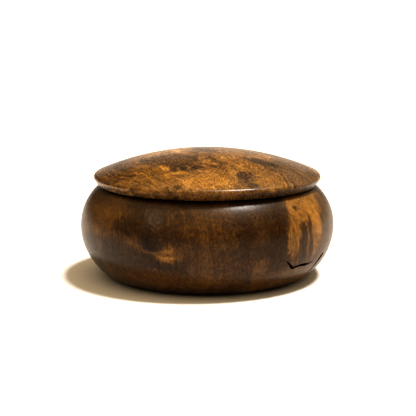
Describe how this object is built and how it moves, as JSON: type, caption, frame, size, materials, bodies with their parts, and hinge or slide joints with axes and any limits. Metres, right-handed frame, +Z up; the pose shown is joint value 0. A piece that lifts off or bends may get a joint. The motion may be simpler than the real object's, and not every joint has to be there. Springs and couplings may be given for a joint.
{
  "type": "shaving bowl",
  "caption": "Squat round turned-wood shaving bowl with a domed lift-off lid, holding a cake of shaving soap.",
  "frame": {"origin": "centre of the foot, on the surface that the bowl stands on", "axes": "+Z up along the turning axis, -Y to the front, +X to the right with the drying crack on the front right"},
  "size_m": [0.12, 0.12, 0.0597],
  "materials": {
    "bowl_wood": "satin oiled, dark figured walnut",
    "lid_wood": "satin oiled, amber figured walnut",
    "soap": "dry hard soap, waxy"
  },
  "bodies": {
    "bowl_body": {"bowl": "bowl_wood", "soap_cake": "soap"},
    "lid_body": {"lid": "lid_wood"}
  },
  "joints": [
    {"name": "lid_lift", "type": "slide", "parent": "bowl_body", "child": "lid_body", "axis": [0, 0, 1], "range_m": [0, 0.06]}
  ]
}
